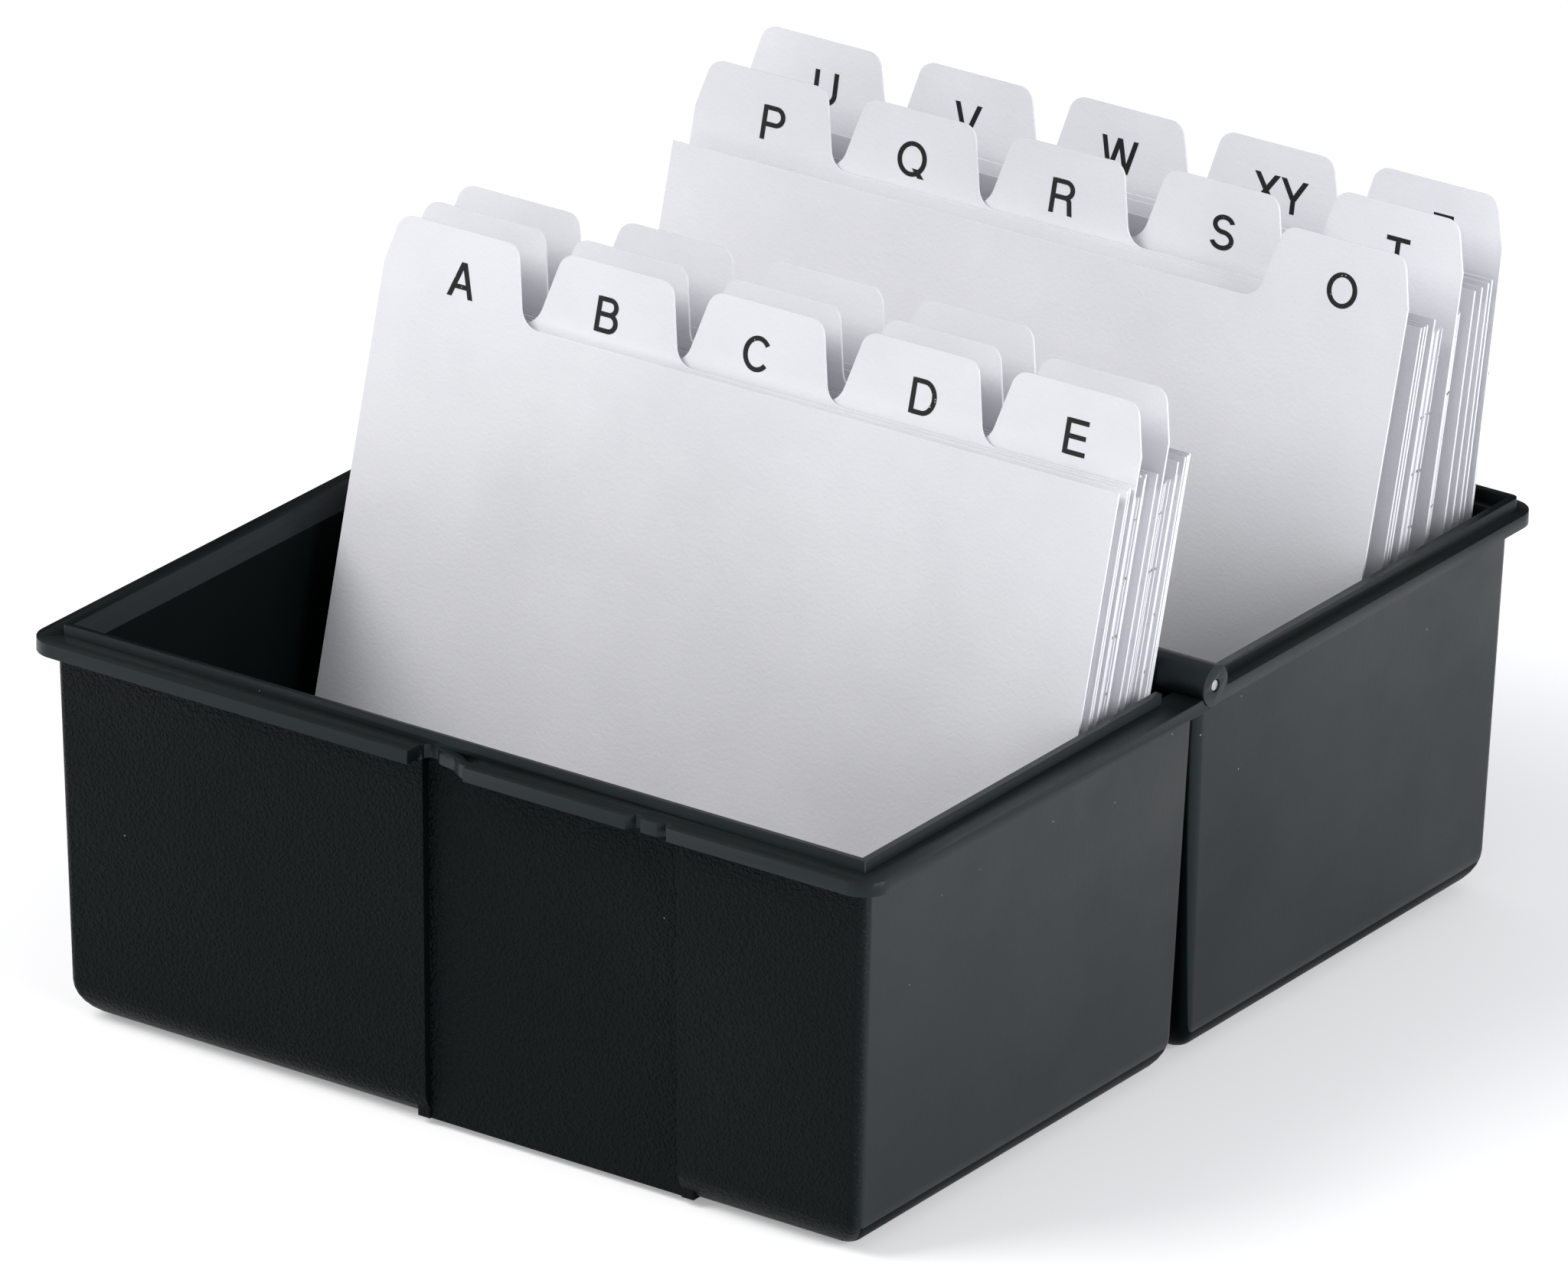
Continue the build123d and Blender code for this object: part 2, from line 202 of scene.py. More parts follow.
def make_tray_material():
    """Black moulded plastic: grained on the far walls, polished elsewhere, and nearly matte on the
    faces within the tray as painted shade.
    """
    material, tree, shader, bump = new_material("moulded_black")
    wire = tree.links.new
    where = tree.nodes.new("ShaderNodeTexCoord")
    facing = tree.nodes.new("ShaderNodeSeparateXYZ")
    wire(where.outputs["Normal"], facing.inputs[0])
    along = add_node(tree, "ShaderNodeMath", operation="ABSOLUTE")
    wire(facing.outputs["Y"], along.inputs[0])
    place = tree.nodes.new("ShaderNodeSeparateXYZ")
    wire(where.outputs["Object"], place.inputs[0])
    outward = add_node(tree, "ShaderNodeMath", operation="MULTIPLY")
    wire(place.outputs["Y"], outward.inputs[0])
    wire(facing.outputs["Y"], outward.inputs[1])
    outside = add_node(tree, "ShaderNodeMath", operation="GREATER_THAN")
    outside.inputs[1].default_value = FAR_AND_OUTWARD
    wire(outward.outputs[0], outside.inputs[0])
    below = add_node(tree, "ShaderNodeMath", operation="LESS_THAN")
    below.inputs[1].default_value = RIM_UNDERSIDE
    wire(place.outputs["Z"], below.inputs[0])
    grained = add_node(tree, "ShaderNodeMath", operation="MULTIPLY")
    wire(along.outputs[0], grained.inputs[0])
    wire(outside.outputs[0], grained.inputs[1])
    mask = add_node(tree, "ShaderNodeMath", operation="MULTIPLY")
    wire(grained.outputs[0], mask.inputs[0])
    wire(below.outputs[0], mask.inputs[1])
    side = add_node(tree, "ShaderNodeMath", operation="ABSOLUTE")
    wire(place.outputs["X"], side.inputs[0])
    between = add_node(tree, "ShaderNodeMath", operation="LESS_THAN")
    between.inputs[1].default_value = INNER_HALF
    wire(side.outputs[0], between.inputs[0])
    nearer = add_node(tree, "ShaderNodeMath", operation="SUBTRACT")
    nearer.inputs[0].default_value = 1.0
    wire(outside.outputs[0], nearer.inputs[1])
    inner_shade_area = add_node(tree, "ShaderNodeMath", operation="MULTIPLY")
    wire(between.outputs[0], inner_shade_area.inputs[0])
    wire(nearer.outputs[0], inner_shade_area.inputs[1])
    painted_shade_inside = add_node(tree, "ShaderNodeMath", operation="MULTIPLY")
    wire(inner_shade_area.outputs[0], painted_shade_inside.inputs[0])
    wire(below.outputs[0], painted_shade_inside.inputs[1])
    duller = add_node(tree, "ShaderNodeMix", data_type="FLOAT")
    duller.inputs["A"].default_value = POLISHED_SHINE
    duller.inputs["B"].default_value = GRAINED_SHINE
    wire(mask.outputs[0], duller.inputs["Factor"])
    # painted shade: the faces within the tray are mixed down to almost no shine
    shine_and_painted_shade = add_node(tree, "ShaderNodeMix", data_type="FLOAT")
    shine_and_painted_shade.inputs["B"].default_value = INNER_PAINTED_SHADE_SHINE
    wire(painted_shade_inside.outputs[0], shine_and_painted_shade.inputs["Factor"])
    wire(duller.outputs["Result"], shine_and_painted_shade.inputs["A"])
    wire(shine_and_painted_shade.outputs["Result"], shader.inputs["Specular IOR Level"])
    shader.inputs["Specular Tint"].default_value = SHINE_TINT

    grain = place_group(tree, leather_grain, Cell_Size=GRAIN_SIZE)
    wire(where.outputs["Object"], grain.inputs["Position"])
    deep = add_node(tree, "ShaderNodeMath", operation="MULTIPLY")
    wire(grain.outputs["Height"], deep.inputs[0])
    wire(mask.outputs[0], deep.inputs[1])
    haze = add_node(tree, "ShaderNodeTexNoise", Scale=HAZE_SCALE, Detail=2.0)
    wire(where.outputs["Object"], haze.inputs["Vector"])
    shallow = add_node(tree, "ShaderNodeMath", operation="MULTIPLY_ADD")
    shallow.inputs[1].default_value = HAZE_SHARE
    wire(haze.outputs["Fac"], shallow.inputs[0])
    wire(deep.outputs[0], shallow.inputs[2])
    wire(shallow.outputs[0], bump.inputs["Height"])
    bump.inputs["Distance"].default_value = GRAIN_DEPTH
    bump.inputs["Strength"].default_value = 1.0

    cloud = add_node(
        tree, "ShaderNodeTexNoise", Scale=CLOUD_SCALE, Detail=4.0, Roughness=0.6
    )
    wire(where.outputs["Object"], cloud.inputs["Vector"])
    gloss = add_node(tree, "ShaderNodeMapRange")
    gloss.inputs["From Min"].default_value = 0.3
    gloss.inputs["From Max"].default_value = 0.7
    gloss.inputs["To Min"].default_value = POLISH[0]
    gloss.inputs["To Max"].default_value = POLISH[1]
    wire(cloud.outputs["Fac"], gloss.inputs["Value"])
    rough = add_node(tree, "ShaderNodeMath", operation="MULTIPLY_ADD")
    rough.inputs[1].default_value = GRAIN_ROUGHNESS
    wire(mask.outputs[0], rough.inputs[0])
    wire(gloss.outputs["Result"], rough.inputs[2])
    wire(rough.outputs[0], shader.inputs["Roughness"])

    wear = add_node(tree, "ShaderNodeMix", data_type="RGBA")
    wear.inputs["A"].default_value = BLACK
    wear.inputs["B"].default_value = BLACK_WORN
    wire(cloud.outputs["Fac"], wear.inputs["Factor"])
    specks = place_group(tree, dust_specks, Spacing=0.0045, Dot=0.035, Share=0.10)
    wire(where.outputs["Object"], specks.inputs["Position"])
    dusty = add_node(tree, "ShaderNodeMix", data_type="RGBA")
    dusty.inputs["B"].default_value = DUST
    wire(specks.outputs["Mask"], dusty.inputs["Factor"])
    wire(wear.outputs["Result"], dusty.inputs["A"])
    wire(dusty.outputs["Result"], shader.inputs["Base Color"])
    return material


def soften(node, name, width):
    """Copy of a CAD moulding with clean flat faces and small rounded edges."""
    source = frame["nodes"][node]
    piece = bpy.data.objects.new(name, source.data.copy())
    bpy.context.scene.collection.objects.link(piece)
    mesh = bmesh.new()
    mesh.from_mesh(piece.data)
    bmesh.ops.remove_doubles(mesh, verts=mesh.verts, dist=SAME_POINT)
    bmesh.ops.dissolve_limit(
        mesh, angle_limit=FLAT_ENOUGH, verts=mesh.verts, edges=mesh.edges, delimit=set()
    )
    for face in mesh.faces:
        face.smooth = True
    mesh.to_mesh(piece.data)
    mesh.free()
    edges = piece.modifiers.new("soft edges", "BEVEL")
    edges.width = width
    edges.segments = 2
    edges.limit_method = "ANGLE"
    edges.angle_limit = SHARP_ENOUGH
    edges.use_clamp_overlap = True
    edges.harden_normals = True
    return piece


tray_low, tray_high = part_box("base_tray")
lid_low, lid_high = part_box("lid_tray")
tray_material = make_tray_material()
for node, body, name in (
    ("base_tray", "base", "base_moulding"),
    ("lid_tray", "lid", "lid_moulding"),
):
    moulding = soften(node, name, EDGE_SOFTNESS)
    moulding.data.materials.clear()
    moulding.data.materials.append(tray_material)
    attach(moulding, body)
    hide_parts(node)

# ---------------------------------------------------------------------------
# Hinge rod: bright drawn steel wire, pushed through all seven knuckles and cut
# off just inside the end ones.
# ---------------------------------------------------------------------------
STEEL = (0.62, 0.63, 0.64, 1.0)
STEEL_STAIN = (0.28, 0.27, 0.26, 1.0)
STAIN_SCALE = 1800.0
DRAWN_LINES = (40.0, 4000.0, 4000.0)    # noise per metre: long along the wire, fine across
DRAWN_DEPTH = 0.00002
STEEL_POLISH = (0.18, 0.38)


def make_rod_material():
    """Drawn wire: bright, with fine lines along it and a few darker stains."""
    material, tree, shader, bump = new_material("drawn_steel")
    wire = tree.links.new
    shader.inputs["Metallic"].default_value = 1.0
    where = tree.nodes.new("ShaderNodeTexCoord")
    stretch = add_node(tree, "ShaderNodeVectorMath", operation="MULTIPLY")
    stretch.inputs[1].default_value = DRAWN_LINES
    wire(where.outputs["Object"], stretch.inputs[0])
    lines = add_node(tree, "ShaderNodeTexNoise", Scale=1.0, Detail=3.0)
    wire(stretch.outputs[0], lines.inputs["Vector"])
    wire(lines.outputs["Fac"], bump.inputs["Height"])
    bump.inputs["Distance"].default_value = DRAWN_DEPTH
    stain = add_node(tree, "ShaderNodeTexNoise", Scale=STAIN_SCALE, Detail=4.0)
    wire(where.outputs["Object"], stain.inputs["Vector"])
    tone = add_node(tree, "ShaderNodeMix", data_type="RGBA")
    tone.inputs["A"].default_value = STEEL_STAIN
    tone.inputs["B"].default_value = STEEL
    wire(stain.outputs["Fac"], tone.inputs["Factor"])
    wire(tone.outputs["Result"], shader.inputs["Base Color"])
    rough = add_node(tree, "ShaderNodeMapRange")
    rough.inputs["To Min"].default_value = STEEL_POLISH[0]
    rough.inputs["To Max"].default_value = STEEL_POLISH[1]
    wire(stain.outputs["Fac"], rough.inputs["Value"])
    wire(rough.outputs["Result"], shader.inputs["Roughness"])
    return material


rod = frame["nodes"]["hinge_rod"]
rod.data.materials.clear()
rod.data.materials.append(make_rod_material())

# ---------------------------------------------------------------------------
# Index cards: packets of thin white A6 card, cut with a guillotine, loose behind
# their guides. The lines of the ruling run off the side edges of the cards and
# show there as rows of small dark ticks.
# ---------------------------------------------------------------------------
CARD_WHITE = (0.79, 0.79, 0.82, 1.0)
CARD_SHADE = (0.70, 0.70, 0.735, 1.0)
CARD_TICK = (0.10, 0.10, 0.11, 1.0)
CARD_ROUGHNESS = 0.78
CARD_FIBRE = 0.0005
CARD_TOOTH = 0.00003
RULING = 0.00975
TICK_SHARE = 0.045          # thickness of a tick, as a share of the ruling
TICK_BREAKS = 650.0         # noise per metre that leaves some ticks out
TICK_LEFT_OUT = 0.52
TICK_START = 0.0022         # lowest line above the foot of a card
TICK_WANDER = 0.0013        # and how far it differs between packets


def make_fibre_group():
    """Paper: fine fibres and soft mottling, as a colour mask and a height."""
    group, start, end = new_group(
        "paper fibre",
        {"Position": None, "Fibre Size": 0.0006},
        {"Mottle": "NodeSocketFloat", "Height": "NodeSocketFloat"},
    )
    wire = group.links.new
    scale = add_node(group, "ShaderNodeMath", operation="DIVIDE")
    scale.inputs[0].default_value = 1.0
    wire(start.outputs["Fibre Size"], scale.inputs[1])
    fibre = add_node(group, "ShaderNodeTexNoise", Detail=4.0, Roughness=0.65)
    wire(start.outputs["Position"], fibre.inputs["Vector"])
    wire(scale.outputs[0], fibre.inputs["Scale"])
    wire(fibre.outputs["Fac"], end.inputs["Height"])
    wide = add_node(group, "ShaderNodeMath", operation="MULTIPLY")
    wide.inputs[1].default_value = 0.02
    wire(scale.outputs[0], wide.inputs[0])
    mottle = add_node(group, "ShaderNodeTexNoise", Detail=5.0, Roughness=0.55)
    wire(start.outputs["Position"], mottle.inputs["Vector"])
    wire(wide.outputs[0], mottle.inputs["Scale"])
    spread = add_node(group, "ShaderNodeMapRange")
    spread.inputs["From Min"].default_value = 0.35
    spread.inputs["From Max"].default_value = 0.65
    wire(mottle.outputs["Fac"], spread.inputs["Value"])
    wire(spread.outputs["Result"], end.inputs["Mottle"])
    return group


paper_fibre = make_fibre_group()


def make_card_material(name, lean, foot_level, tick_from):
    """White card of one packet, with ticks on the side edges from its foot upwards."""
    material, tree, shader, bump = new_material(name)
    wire = tree.links.new
    shader.inputs["Specular IOR Level"].default_value = 0.25
    where = tree.nodes.new("ShaderNodeTexCoord")
    fibre = place_group(tree, paper_fibre, Fibre_Size=CARD_FIBRE)
    wire(where.outputs["Object"], fibre.inputs["Position"])
    wire(fibre.outputs["Height"], bump.inputs["Height"])
    bump.inputs["Distance"].default_value = CARD_TOOTH
    white = add_node(tree, "ShaderNodeMix", data_type="RGBA")
    white.inputs["A"].default_value = CARD_SHADE
    white.inputs["B"].default_value = CARD_WHITE
    wire(fibre.outputs["Mottle"], white.inputs["Factor"])

    place = tree.nodes.new("ShaderNodeSeparateXYZ")
    wire(where.outputs["Object"], place.inputs[0])
    up = add_node(tree, "ShaderNodeMath", operation="MULTIPLY_ADD")
    up.inputs[1].default_value = 1.0 / math.cos(lean) / RULING
    up.inputs[2].default_value = -(foot_level + tick_from) / math.cos(lean) / RULING
    wire(place.outputs["Z"], up.inputs[0])
    phase = add_node(tree, "ShaderNodeMath", operation="FRACT")
    wire(up.outputs[0], phase.inputs[0])
    on_line = add_node(tree, "ShaderNodeMath", operation="LESS_THAN")
    on_line.inputs[1].default_value = TICK_SHARE
    wire(phase.outputs[0], on_line.inputs[0])
    broken = add_node(tree, "ShaderNodeTexNoise", Scale=TICK_BREAKS, Detail=1.0)
    wire(where.outputs["Object"], broken.inputs["Vector"])
    some = add_node(tree, "ShaderNodeMath", operation="GREATER_THAN")
    some.inputs[1].default_value = TICK_LEFT_OUT
    wire(broken.outputs["Fac"], some.inputs[0])
    tick = add_node(tree, "ShaderNodeMath", operation="MULTIPLY")
    wire(on_line.outputs[0], tick.inputs[0])
    wire(some.outputs[0], tick.inputs[1])
    facing = tree.nodes.new("ShaderNodeSeparateXYZ")
    wire(where.outputs["Normal"], facing.inputs[0])
    sideways = add_node(tree, "ShaderNodeMath", operation="ABSOLUTE")
    wire(facing.outputs["X"], sideways.inputs[0])
    at_edge = add_node(tree, "ShaderNodeMath", operation="MULTIPLY")
    wire(tick.outputs[0], at_edge.inputs[0])
    wire(sideways.outputs[0], at_edge.inputs[1])
    marked = add_node(tree, "ShaderNodeMix", data_type="RGBA")
    marked.inputs["B"].default_value = CARD_TICK
    wire(at_edge.outputs[0], marked.inputs["Factor"])
    wire(white.outputs["Result"], marked.inputs["A"])
    wire(marked.outputs["Result"], shader.inputs["Base Color"])
    shader.inputs["Roughness"].default_value = CARD_ROUGHNESS
    return material


def lean_of(letter):
    """Lean of a group from upright, in radians, from the line its guide lifts along."""
    for joint in frame["joints"]:
        if joint["name"] == "lift_" + letter:
            return math.atan2(-joint["axis"][1], -joint["axis"][2])
    raise ValueError(letter)


letters = [name[len("guide_"):] for name in sorted(frame["nodes"]) if name.startswith("guide_")]
for order, letter in enumerate(letters):
    packet = frame["nodes"]["cards_" + letter]
    foot_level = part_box("cards_" + letter)[0].z
    tick_from = TICK_START + TICK_WANDER * math.sin(2.1 * order)
    packet.data.materials.clear()
    packet.data.materials.append(
        make_card_material("white_card_" + letter, lean_of(letter), foot_level, tick_from)
    )

# ---------------------------------------------------------------------------
# Lettered guides: stiff off-white board, die-cut with one tab each, and printed
# with a black capital on the tab. The prints are thin flat pieces just in front
# of the board.
# ---------------------------------------------------------------------------
GUIDE_WHITE = (0.80, 0.80, 0.835, 1.0)
GUIDE_SHADE = (0.74, 0.74, 0.775, 1.0)
INK = (0.0035, 0.0055, 0.005, 1.0)
INK_THIN = (0.010, 0.013, 0.012, 1.0)
PINHOLE = (0.45, 0.45, 0.46, 1.0)
GUIDE_ROUGHNESS = 0.72
GUIDE_FIBRE = 0.0007
GUIDE_TOOTH = 0.00006
GUIDE_THICKNESS = 0.00045
INK_ROUGHNESS = 0.6
INK_FIBRE = 0.0004
INK_TOOTH = 0.00002
INK_RISE = 0.00002          # first stroke in front of the board
INK_STEP = 0.000002         # and each later one in front of the last
CAP_HEIGHT = 0.0060
PAIR_SPACING = 0.92         # between the middles of two capitals, in their heights
PEN = 0.160                 # stroke of a letter, as a share of its height
BEAM = 0.140                # the same for level strokes
ARC_STEP = math.radians(9)
LETTER_LEVEL = 0.1130       # middle of a letter above the foot of the guide
# middle of each letter along the hinge
LETTER_PLACES = {
    "a": -0.0570, "b": -0.0286, "c": 0.0009, "d": 0.0337, "e": 0.0633,
    "f": -0.0573, "g": -0.0312, "h": -0.0006, "i": 0.0331, "j": 0.0636,
    "k": -0.0570, "l": -0.0295, "m": 0.0003, "n": 0.0324, "o": 0.0628,
    "p": -0.0562, "q": -0.0279, "r": 0.0023, "s": 0.0333, "t": 0.0632,
    "u": -0.0566, "v": -0.0285, "w": 0.0014, "xy": 0.0332, "z": 0.0647,
}
# Strokes of each capital, one unit high about x = 0: a leg runs from one point to another and
# ends level, a beam runs from x to x at one height, and an arc goes round a centre with two
# radii between two angles.
STROKES = {
    "A": [("leg", -0.36, 0, -0.01, 1), ("leg", 0.36, 0, 0.01, 1), ("beam", -0.24, 0.24, 0.31)],
    "B": [("leg", -0.29, 0, -0.29, 1), ("beam", -0.29, 0.06, 0.9375), ("beam", -0.29, 0.09, 0.52),
          ("beam", -0.29, 0.09, 0.0625), ("arc", 0.06, 0.729, 0.21, 0.209, 90, -90),
          ("arc", 0.09, 0.291, 0.23, 0.229, 90, -90)],
    "C": [("arc", 0.02, 0.5, 0.39, 0.44, 38, 322)],
    "D": [("leg", -0.34, 0, -0.34, 1), ("beam", -0.34, 0.0, 0.9375), ("beam", -0.34, 0.0, 0.0625),
          ("arc", 0.0, 0.5, 0.36, 0.4375, 90, -90)],
    "E": [("leg", -0.29, 0, -0.29, 1), ("beam", -0.29, 0.37, 0.9375), ("beam", -0.29, 0.33, 0.51),
          ("beam", -0.29, 0.37, 0.0625)],
    "F": [("leg", -0.27, 0, -0.27, 1), ("beam", -0.27, 0.35, 0.9375), ("beam", -0.27, 0.28, 0.49)],
    "G": [("arc", 0.0, 0.5, 0.40, 0.44, 38, 338), ("beam", 0.04, 0.42, 0.45),
          ("leg", 0.37, 0, 0.37, 0.45)],
    "H": [("leg", -0.33, 0, -0.33, 1), ("leg", 0.33, 0, 0.33, 1), ("beam", -0.33, 0.33, 0.52)],
    "I": [("leg", 0, 0, 0, 1)],
    "J": [("leg", 0.2, 0.28, 0.2, 1), ("arc", -0.03, 0.28, 0.23, 0.22, 180, 360)],
    "K": [("leg", -0.33, 0, -0.33, 1), ("leg", -0.33, 0.30, 0.30, 1),
          ("leg", 0.36, 0, -0.06, 0.62)],
    "L": [("leg", -0.28, 0, -0.28, 1), ("beam", -0.28, 0.34, 0.0625)],
    "M": [("leg", -0.42, 0, -0.42, 1), ("leg", 0.42, 0, 0.42, 1), ("leg", 0, 0, -0.40, 1),
          ("leg", 0, 0, 0.40, 1)],
    "N": [("leg", -0.33, 0, -0.33, 1), ("leg", 0.33, 0, 0.33, 1), ("leg", 0.32, 0, -0.32, 1)],
    "O": [("arc", 0, 0.5, 0.42, 0.44, 0, 360)],
    "P": [("leg", -0.30, 0, -0.30, 1), ("beam", -0.30, 0.08, 0.9375), ("beam", -0.30, 0.08, 0.46),
          ("arc", 0.08, 0.699, 0.24, 0.239, 90, -90)],
    "Q": [("arc", 0, 0.5, 0.42, 0.44, 0, 360), ("leg", 0.38, -0.01, 0.14, 0.24)],
    "R": [("leg", -0.31, 0, -0.31, 1), ("beam", -0.31, 0.09, 0.9375), ("beam", -0.31, 0.10, 0.49),
          ("arc", 0.08, 0.714, 0.24, 0.224, 90, -90), ("leg", 0.33, 0, 0.26, 0.36),
          ("arc", 0.10, 0.36, 0.16, 0.13, 90, 0)],
    "S": [("arc", 0, 0.725, 0.29, 0.213, 15, 270), ("arc", 0, 0.288, 0.32, 0.226, 90, -165)],
    "T": [("leg", 0, 0, 0, 1), ("beam", -0.39, 0.39, 0.9375)],
    "U": [("leg", -0.33, 0.36, -0.33, 1), ("leg", 0.33, 0.36, 0.33, 1),
          ("arc", 0, 0.36, 0.33, 0.30, 180, 360)],
    "V": [("leg", 0.01, 0, 0.38, 1), ("leg", -0.01, 0, -0.38, 1)],
    "W": [("leg", -0.28, 0, -0.54, 1), ("leg", -0.28, 0, 0, 1), ("leg", 0.28, 0, 0, 1),
          ("leg", 0.28, 0, 0.54, 1)],
    "X": [("leg", -0.36, 0, 0.34, 1), ("leg", 0.36, 0, -0.34, 1)],
    "Y": [("leg", 0, 0, 0, 0.45), ("leg", 0, 0.40, -0.37, 1), ("leg", 0, 0.40, 0.37, 1)],
    "Z": [("beam", -0.33, 0.34, 0.9375), ("beam", -0.36, 0.36, 0.0625),
          ("leg", -0.27, 0.04, 0.26, 0.96)],
}


def make_guide_material():
    """Off-white board with a fine tooth."""
    material, tree, shader, bump = new_material("guide_board")
    wire = tree.links.new
    shader.inputs["Specular IOR Level"].default_value = 0.25
    where = tree.nodes.new("ShaderNodeTexCoord")
    fibre = place_group(tree, paper_fibre, Fibre_Size=GUIDE_FIBRE)
    wire(where.outputs["Object"], fibre.inputs["Position"])
    wire(fibre.outputs["Height"], bump.inputs["Height"])
    bump.inputs["Distance"].default_value = GUIDE_TOOTH
    white = add_node(tree, "ShaderNodeMix", data_type="RGBA")
    white.inputs["A"].default_value = GUIDE_SHADE
    white.inputs["B"].default_value = GUIDE_WHITE
    wire(fibre.outputs["Mottle"], white.inputs["Factor"])
    wire(white.outputs["Result"], shader.inputs["Base Color"])
    shader.inputs["Roughness"].default_value = GUIDE_ROUGHNESS
    return material


def make_ink_material():
    """Black printing ink, a little glossier than the board, with a few pale pinholes."""
    material, tree, shader, bump = new_material("printing_ink")
    wire = tree.links.new
    where = tree.nodes.new("ShaderNodeTexCoord")
    fibre = place_group(tree, paper_fibre, Fibre_Size=INK_FIBRE)
    wire(where.outputs["Object"], fibre.inputs["Position"])
    wire(fibre.outputs["Height"], bump.inputs["Height"])
    bump.inputs["Distance"].default_value = INK_TOOTH
    tone = add_node(tree, "ShaderNodeMix", data_type="RGBA")
    tone.inputs["A"].default_value = INK
    tone.inputs["B"].default_value = INK_THIN
    wire(fibre.outputs["Mottle"], tone.inputs["Factor"])
    holes = place_group(tree, dust_specks, Spacing=0.00075, Dot=0.16, Share=0.12)
    wire(where.outputs["Object"], holes.inputs["Position"])
    inked = add_node(tree, "ShaderNodeMix", data_type="RGBA")
    inked.inputs["B"].default_value = PINHOLE
    wire(holes.outputs["Mask"], inked.inputs["Factor"])
    wire(tone.outputs["Result"], inked.inputs["A"])
    wire(inked.outputs["Result"], shader.inputs["Base Color"])
    shader.inputs["Roughness"].default_value = INK_ROUGHNESS
    shader.inputs["Specular IOR Level"].default_value = 0.25
    return material


guide_material = make_guide_material()
ink_material = make_ink_material()


def sheet_frame(letter):
    """Foot of a guide's front face at its letter, and the ways across, up and out of it."""
    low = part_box("guide_" + letter)[0]
    lean = lean_of(letter)
    across = Vector((1, 0, 0))
    up = Vector((0, math.sin(lean), math.cos(lean)))
    out = Vector((0, -math.cos(lean), math.sin(lean)))
    thickness_drop = GUIDE_THICKNESS * math.sin(lean)
    foot = Vector((LETTER_PLACES[letter], low.y, low.z + thickness_drop))
    return foot, across, up, out


def stroke_quads(stroke):
    """Flat quads that fill one stroke of a capital, as lists of four points."""
    kind = stroke[0]
    if kind == "leg":
        kind, x0, y0, x1, y1 = stroke
        half = PEN / 2 * math.hypot(x1 - x0, y1 - y0) / abs(y1 - y0)
        return [[(x0 - half, y0), (x0 + half, y0), (x1 + half, y1), (x1 - half, y1)]]
    if kind == "beam":
        kind, x0, x1, y = stroke
        low, high = y - BEAM / 2, y + BEAM / 2
        return [[(x0, low), (x1, low), (x1, high), (x0, high)]]
    kind, cx, cy, rx, ry, start, end = stroke
    start, end = math.radians(start), math.radians(end)
    steps = max(2, round(abs(end - start) / ARC_STEP))
    rails = []
    for step in range(steps + 1):
        angle = start + (end - start) * step / steps
        way = (math.cos(angle), math.sin(angle))
        rails.append([
            (cx + (rx + side * PEN / 2) * way[0], cy + (ry + side * BEAM / 2) * way[1])
            for side in (-1, 1)
        ])
    return [
        [here[0], here[1], there[1], there[0]] for here, there in zip(rails[:-1], rails[1:])
    ]


def print_letter(letter, body):
    """Capital printed on a tab, laid just in front of the board."""
    foot, across, up, out = sheet_frame(letter)
    corners, faces = [], []
    for number, capital in enumerate(letter.upper()):
        offset = PAIR_SPACING * (number - (len(letter) - 1) / 2)
        for order, stroke in enumerate(STROKES[capital]):
            for quad in stroke_quads(stroke):
                first = len(corners)
                for x, y in quad:
                    place = foot + across * ((x + offset) * CAP_HEIGHT)
                    place += up * (LETTER_LEVEL + (y - 0.5) * CAP_HEIGHT)
                    corners.append(place + out * (INK_RISE + order * INK_STEP))
                faces.append((first, first + 1, first + 2, first + 3))
    flat = bpy.data.meshes.new("printed_" + letter)
    flat.from_pydata([tuple(corner) for corner in corners], [], faces)
    piece = bpy.data.objects.new("printed_" + letter, flat)
    bpy.context.scene.collection.objects.link(piece)
    piece.data.materials.append(ink_material)
    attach(piece, body)


for letter in letters:
    guide = frame["nodes"]["guide_" + letter]
    guide.data.materials.clear()
    guide.data.materials.append(guide_material)
    print_letter(letter, "lettered_guide_" + letter)

# ---------------------------------------------------------------------------
# Studio: a pale table that runs out to white, a large soft lamp high on the left
# in front, a fill from the right, a black flag behind that shows in reflections
# alone, and the camera where the photograph was taken from.
# ---------------------------------------------------------------------------
CAMERA_AZIMUTH = math.radians(34.600)
CAMERA_ELEVATION = math.radians(23.099)
CAMERA_ROLL = math.radians(0.953)
CAMERA_DISTANCE = 2.75246
CAMERA_LENS = 378.08
SENSOR = 36.0
AIM = Vector((-0.00193, 0.00121, 0.0555))
KEY_PLACE = Vector((-1.15, -1.10, 1.55))
KEY_SIZE = 1.3
KEY_POWER = 35.0
FILL_PLACE = Vector((1.9, -0.15, 0.6))
FILL_SIZE = 1.2
FILL_POWER = 33.0
KEY_COLOUR = (1.0, 0.99, 0.98)
FILL_COLOUR = (0.97, 0.98, 1.0)
TABLE_HALF = 6.0
TABLE_DROP = 0.0002         # the table lies this far under the trays
TABLE_WHITE = (0.86, 0.86, 0.87, 1.0)
TABLE_LIFT = 0.30           # brings the lit part of the table to white
SKY_COLOUR = (0.95, 0.97, 1.0, 1.0)
SKY_STRENGTH = 0.42
FLAG_PLACE = Vector((-0.88, 1.28, 0.72))
FLAG_HALF = (1.5, 0.62)

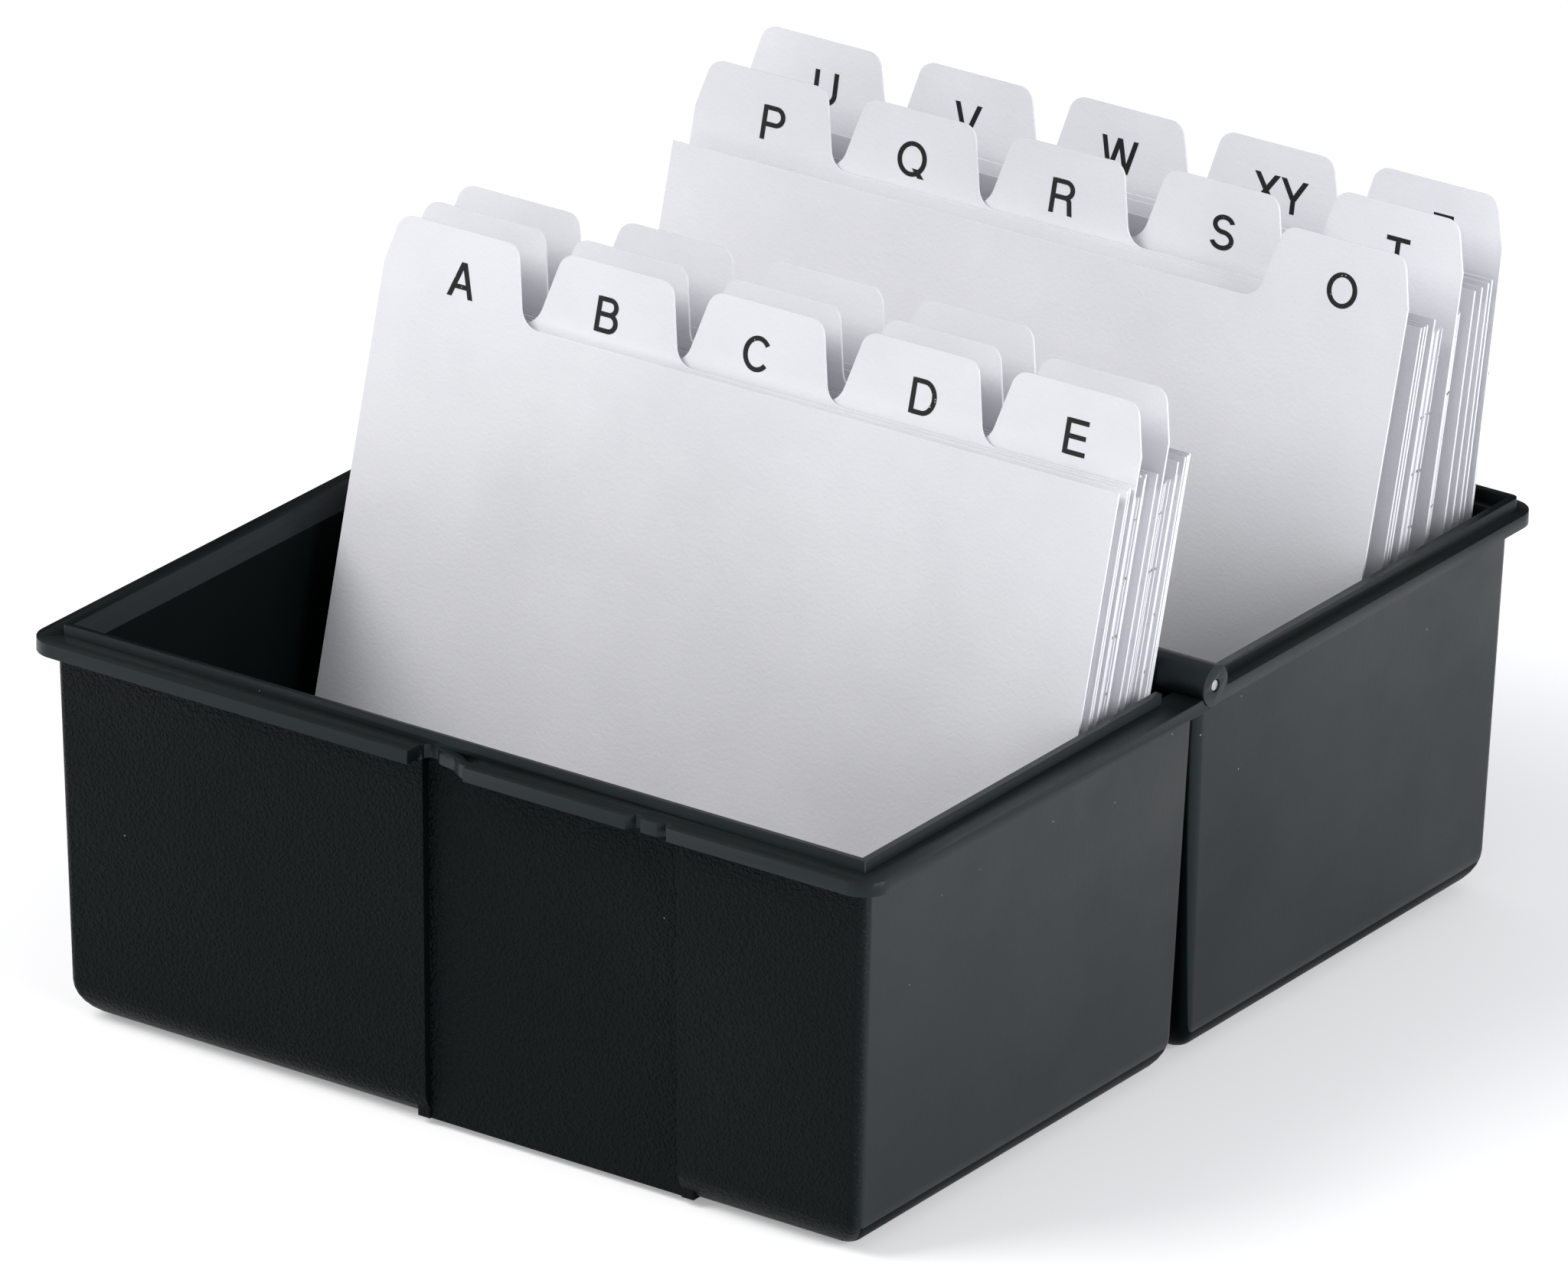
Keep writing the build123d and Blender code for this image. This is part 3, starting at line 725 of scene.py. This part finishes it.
scene = bpy.context.scene
camera_data = bpy.data.cameras.new("camera")
camera_data.lens = CAMERA_LENS
camera_data.sensor_width = SENSOR
camera_data.clip_end = 20.0
camera = bpy.data.objects.new("camera", camera_data)
scene.collection.objects.link(camera)
back = Vector((
    math.sin(CAMERA_AZIMUTH) * math.cos(CAMERA_ELEVATION),
    -math.cos(CAMERA_AZIMUTH) * math.cos(CAMERA_ELEVATION),
    math.sin(CAMERA_ELEVATION),
))
level_right = Vector((math.cos(CAMERA_AZIMUTH), math.sin(CAMERA_AZIMUTH), 0))
level_up = back.cross(level_right)
right = level_right * math.cos(CAMERA_ROLL) + level_up * math.sin(CAMERA_ROLL)
up = level_up * math.cos(CAMERA_ROLL) - level_right * math.sin(CAMERA_ROLL)
pose = Matrix((right, up, back)).transposed().to_4x4()
pose.translation = AIM + back * CAMERA_DISTANCE
camera.matrix_world = pose
scene.camera = camera


def soft_lamp(name, place, size, power, colour):
    """Square area lamp that looks at the middle of the object."""
    data = bpy.data.lights.new(name, "AREA")
    data.shape = "SQUARE"
    data.size = size
    data.energy = power
    data.color = colour
    lamp = bpy.data.objects.new(name, data)
    scene.collection.objects.link(lamp)
    lamp.location = place
    lamp.rotation_euler = (AIM - place).to_track_quat("-Z", "Y").to_euler()


soft_lamp("key_lamp", KEY_PLACE, KEY_SIZE, KEY_POWER, KEY_COLOUR)
soft_lamp("fill_lamp", FILL_PLACE, FILL_SIZE, FILL_POWER, FILL_COLOUR)

floor_mesh = bpy.data.meshes.new("table")
floor_mesh.from_pydata(
    [
        (-TABLE_HALF, -TABLE_HALF, 0), (TABLE_HALF, -TABLE_HALF, 0),
        (TABLE_HALF, TABLE_HALF, 0), (-TABLE_HALF, TABLE_HALF, 0),
    ],
    [], [(0, 1, 2, 3)],
)
table = bpy.data.objects.new("table", floor_mesh)
table.location.z = -TABLE_DROP
scene.collection.objects.link(table)
table_material, table_tree, table_shader, table_bump = new_material("pale_table")
table_tree.nodes.remove(table_bump)
table_shader.inputs["Base Color"].default_value = TABLE_WHITE
table_shader.inputs["Roughness"].default_value = 0.9
table_shader.inputs["Specular IOR Level"].default_value = 0.0
table_shader.inputs["Emission Color"].default_value = (1.0, 1.0, 1.0, 1.0)
seen = table_tree.nodes.new("ShaderNodeLightPath")
mirrored = add_node(table_tree, "ShaderNodeMath", operation="ADD", use_clamp=True)
table_tree.links.new(seen.outputs["Is Camera Ray"], mirrored.inputs[0])
table_tree.links.new(seen.outputs["Is Glossy Ray"], mirrored.inputs[1])
lift = add_node(table_tree, "ShaderNodeMath", operation="MULTIPLY")
lift.inputs[1].default_value = TABLE_LIFT
table_tree.links.new(mirrored.outputs[0], lift.inputs[0])
table_tree.links.new(lift.outputs[0], table_shader.inputs["Emission Strength"])
table.data.materials.append(table_material)

flag_mesh = bpy.data.meshes.new("black_flag")
flag_mesh.from_pydata(
    [
        (-FLAG_HALF[0], -FLAG_HALF[1], 0), (FLAG_HALF[0], -FLAG_HALF[1], 0),
        (FLAG_HALF[0], FLAG_HALF[1], 0), (-FLAG_HALF[0], FLAG_HALF[1], 0),
    ],
    [], [(0, 1, 2, 3)],
)
flag = bpy.data.objects.new("black_flag", flag_mesh)
scene.collection.objects.link(flag)
flag.location = FLAG_PLACE
flag.rotation_euler = (AIM - FLAG_PLACE).to_track_quat("Z", "Y").to_euler()
flag.visible_camera = False
flag.visible_diffuse = False
flag.visible_shadow = False
flag_material, flag_tree, flag_shader, flag_bump = new_material("black_velvet")
flag_tree.nodes.remove(flag_bump)
flag_shader.inputs["Base Color"].default_value = (0.0, 0.0, 0.0, 1.0)
flag_shader.inputs["Roughness"].default_value = 1.0
flag_shader.inputs["Specular IOR Level"].default_value = 0.0
flag.data.materials.append(flag_material)

world = bpy.data.worlds.new("studio")
scene.world = world
world.use_nodes = True
sky = world.node_tree
ambient = sky.nodes["Background"]
ambient.inputs["Color"].default_value = SKY_COLOUR
ambient.inputs["Strength"].default_value = SKY_STRENGTH
white = sky.nodes.new("ShaderNodeBackground")
white.inputs["Strength"].default_value = 1.0
path = sky.nodes.new("ShaderNodeLightPath")
direct = add_node(sky, "ShaderNodeMath", operation="ADD", use_clamp=True)
sky.links.new(path.outputs["Is Camera Ray"], direct.inputs[0])
sky.links.new(path.outputs["Is Glossy Ray"], direct.inputs[1])
choose = sky.nodes.new("ShaderNodeMixShader")
sky.links.new(direct.outputs[0], choose.inputs["Fac"])
sky.links.new(ambient.outputs[0], choose.inputs[1])
sky.links.new(white.outputs[0], choose.inputs[2])
sky.links.new(choose.outputs[0], sky.nodes["World Output"].inputs["Surface"])
scene.view_settings.view_transform = "Standard"
